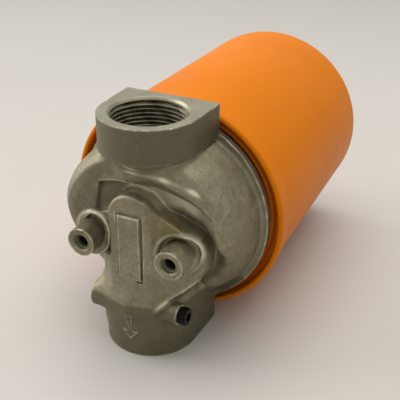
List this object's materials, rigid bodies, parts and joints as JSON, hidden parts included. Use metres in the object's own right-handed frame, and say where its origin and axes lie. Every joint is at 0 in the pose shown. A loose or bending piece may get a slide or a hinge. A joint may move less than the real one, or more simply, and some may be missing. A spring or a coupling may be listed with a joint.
{
  "type": "spin-on oil filter",
  "caption": "Cast filter head with in-line pipe ports, bracket bosses and a bypass valve, and a screw-on can that holds a pleated element.",
  "frame": {"origin": "centre of the raised pad on the front of the head, on the can's axis", "axes": "+X along the can's axis towards its closed end, +Z along the ports towards the inlet"},
  "size_m": [0.221, 0.1316, 0.136],
  "materials": {
    "orange_paint": "smooth glossy orange enamel",
    "cast_aluminium": "matte as-cast, burnished on the ridges, machined port faces",
    "plain_steel": "turned steel",
    "spring_steel": "oiled spring wire",
    "zinc_plate": "thin zinc-plated sheet",
    "black_oxide": "black oxide on steel",
    "black_rubber": "moulded nitrile rubber",
    "filter_paper": "resin-treated pleated paper"
  },
  "bodies": {
    "head": {"head_casting": "cast_aluminium", "threaded_nipple": "plain_steel", "gauge_port_plug": "black_oxide", "bypass_valve_body": "plain_steel", "bypass_o_ring": "black_rubber", "bypass_spring": "spring_steel", "bypass_spring_plate": "zinc_plate", "bypass_snap_ring": "spring_steel"},
    "poppet": {"bypass_poppet": "plain_steel"},
    "gasket": {"mounting_gasket": "black_rubber"},
    "can": {"seam_lid": "orange_paint", "can_shell": "orange_paint", "base_plate": "plain_steel", "element_grommet": "black_rubber", "open_end_cap": "zinc_plate", "pleated_media": "filter_paper", "pleat_seam_clip": "zinc_plate", "centre_tube": "zinc_plate", "closed_end_cap": "zinc_plate", "element_spring": "spring_steel"}
  },
  "joints": [
    {"name": "can_travel", "type": "slide", "parent": "head", "child": "gasket", "axis": [1, 0, 0], "range_m": [0, 0.0132]},
    {"name": "can_spin", "type": "hinge", "parent": "gasket", "child": "can", "pos_m": [0, 0, 0], "axis": [1, 0, 0], "range_deg": [0, 2970]},
    {"name": "bypass_open", "type": "slide", "parent": "head", "child": "poppet", "axis": [0, 0, -1], "range_m": [0, 0.004], "stiffness_N_per_m": 3000, "springref_m": -0.0053, "deforming": ["bypass_spring"]}
  ],
  "couplings": [
    {"joint": "can_travel", "follows": "can_spin", "m_per_rad": 0.00025266}
  ]
}
